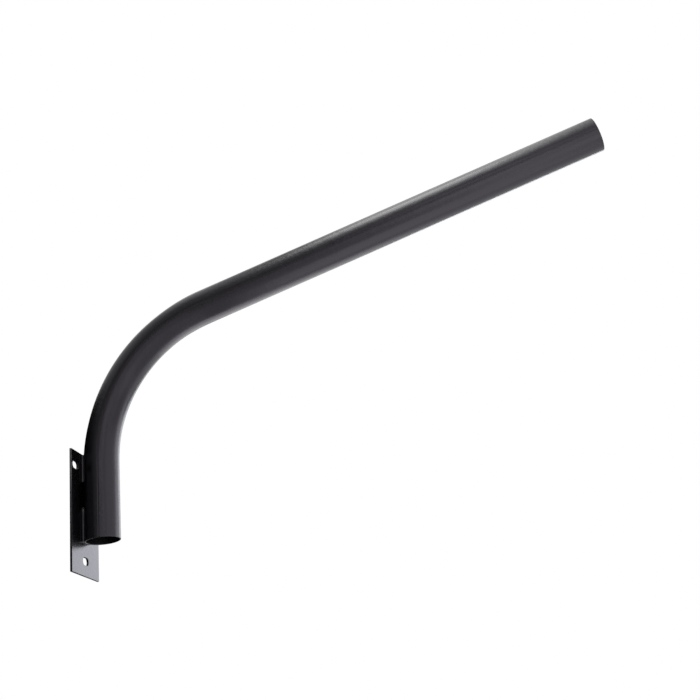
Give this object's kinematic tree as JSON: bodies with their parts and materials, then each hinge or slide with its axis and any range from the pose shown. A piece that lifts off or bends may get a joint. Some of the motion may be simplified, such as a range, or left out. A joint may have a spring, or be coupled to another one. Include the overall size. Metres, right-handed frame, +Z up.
{
  "type": "wall lamp bracket arm",
  "caption": "Bent round tube arm that carries a lamp head on its raised end, stitch welded to a flat wall plate with slotted anchor holes.",
  "frame": {"origin": "centre of the wall plate's back face, on the wall", "axes": "+X away from the wall, +Y across the plate's width, +Z up"},
  "size_m": [0.7605, 0.09, 0.5437],
  "materials": {
    "powder_coat": "semi-gloss black powder coat on steel"
  },
  "bodies": {
    "root": {"arm_tube": "powder_coat", "wall_plate": "powder_coat", "weld_upper_left": "powder_coat", "weld_upper_right": "powder_coat", "weld_lower_left": "powder_coat", "weld_lower_right": "powder_coat"}
  },
  "joints": []
}
